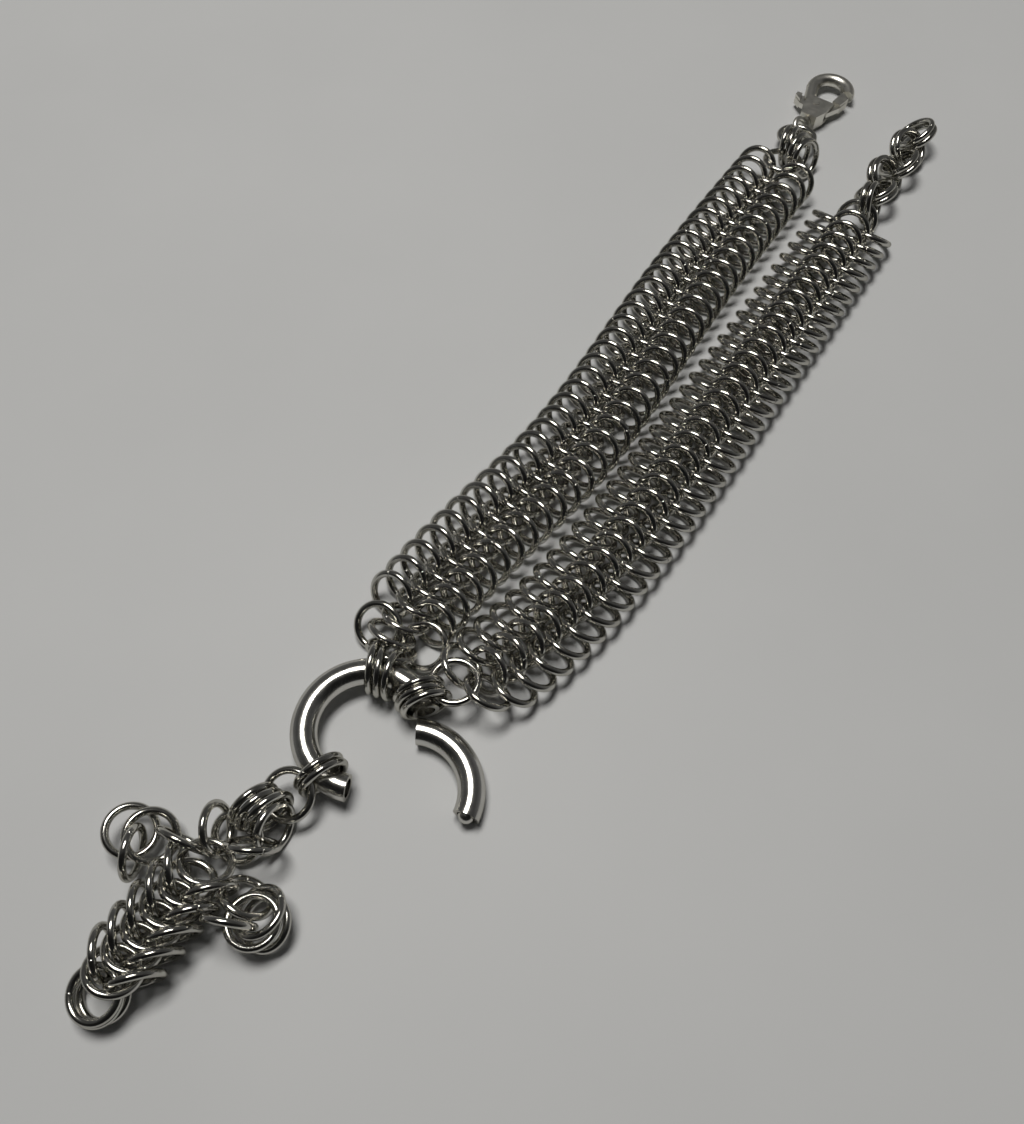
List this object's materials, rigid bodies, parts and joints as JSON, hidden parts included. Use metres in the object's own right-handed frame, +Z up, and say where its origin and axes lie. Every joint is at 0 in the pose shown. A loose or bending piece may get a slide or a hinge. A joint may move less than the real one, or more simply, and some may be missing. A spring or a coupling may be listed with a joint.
{
  "type": "cross choker",
  "caption": "Choker of two woven steel ring bands meeting at a snap ring that carries a woven cross, with a trigger clasp and an extender chain.",
  "frame": {"origin": "middle of the footprint, on the table that it lies on", "axes": "+Y along the bands towards the clasp, +X from the left band to the right band, +Z up from the table"},
  "size_m": [0.0514, 0.2742, 0.0113],
  "materials": {
    "ring_steel": "polished",
    "snap_ring_steel": "polished",
    "clasp_metal": "polished"
  },
  "bodies": {
    "choker": {"left_band_outer_row": "ring_steel", "left_band_middle_row": "ring_steel", "left_band_inner_row": "ring_steel", "right_band_inner_row": "ring_steel", "right_band_middle_row": "ring_steel", "right_band_outer_row": "ring_steel", "left_end_outer_ring": "ring_steel", "left_end_inner_ring": "ring_steel", "left_carrier_ring": "ring_steel", "right_end_inner_ring": "ring_steel", "right_end_outer_ring": "ring_steel", "right_carrier_ring": "ring_steel", "left_jump_ring_1": "ring_steel", "left_jump_ring_2": "ring_steel", "left_jump_ring_3": "ring_steel", "right_jump_ring_1": "ring_steel", "right_jump_ring_2": "ring_steel", "right_jump_ring_3": "ring_steel", "snap_ring_main": "snap_ring_steel", "snap_ring_segment": "snap_ring_steel", "hanger_jump_ring_1": "ring_steel", "hanger_jump_ring_2": "ring_steel", "hanger_ring": "ring_steel", "hanger_side_ring_1": "ring_steel", "hanger_side_ring_2": "ring_steel", "hanger_side_ring_3": "ring_steel", "hanger_side_ring_4": "ring_steel", "cross_top_ring": "ring_steel", "cross_top_left_ring": "ring_steel", "cross_top_right_ring": "ring_steel", "cross_upright_middle_row": "ring_steel", "cross_upright_left_row": "ring_steel", "cross_upright_right_row": "ring_steel", "cross_left_arm_upper_ring": "ring_steel", "cross_left_arm_lower_ring": "ring_steel", "cross_left_arm_tip_ring_1": "ring_steel", "cross_left_arm_tip_ring_2": "ring_steel", "cross_right_arm_upper_ring": "ring_steel", "cross_right_arm_lower_ring": "ring_steel", "cross_right_arm_tip_ring_1": "ring_steel", "cross_right_arm_tip_ring_2": "ring_steel", "cross_right_arm_tip_ring_3": "ring_steel", "cross_foot_ring_1": "ring_steel", "cross_foot_ring_2": "ring_steel", "cross_foot_ring_3": "ring_steel", "clasp_carrier_ring": "ring_steel", "clasp_side_ring_1": "ring_steel", "clasp_side_ring_2": "ring_steel", "clasp_side_ring_3": "ring_steel", "clasp_side_ring_4": "ring_steel", "clasp_jump_ring": "ring_steel", "clasp_eye": "clasp_metal", "extender_link_1": "ring_steel", "extender_link_2": "ring_steel", "extender_link_3": "ring_steel", "extender_link_4": "ring_steel", "extender_link_5": "ring_steel", "extender_link_6": "ring_steel"},
    "hook": {"clasp_hook": "clasp_metal"},
    "lever": {"clasp_lever": "clasp_metal"}
  },
  "joints": [
    {"name": "clasp_swivel", "type": "hinge", "parent": "choker", "child": "hook", "pos_m": [-0.01453, 0.11939, 0.0025], "axis": [-0.0349, 0.9994, 0], "continuous": true},
    {"name": "clasp_lever", "type": "hinge", "parent": "hook", "child": "lever", "pos_m": [-0.01506, 0.12297, 0.0025], "axis": [0, 0, 1], "range_deg": [0, 20], "stiffness_Nm_per_rad": 0.02, "springref_deg": -5.73}
  ]
}
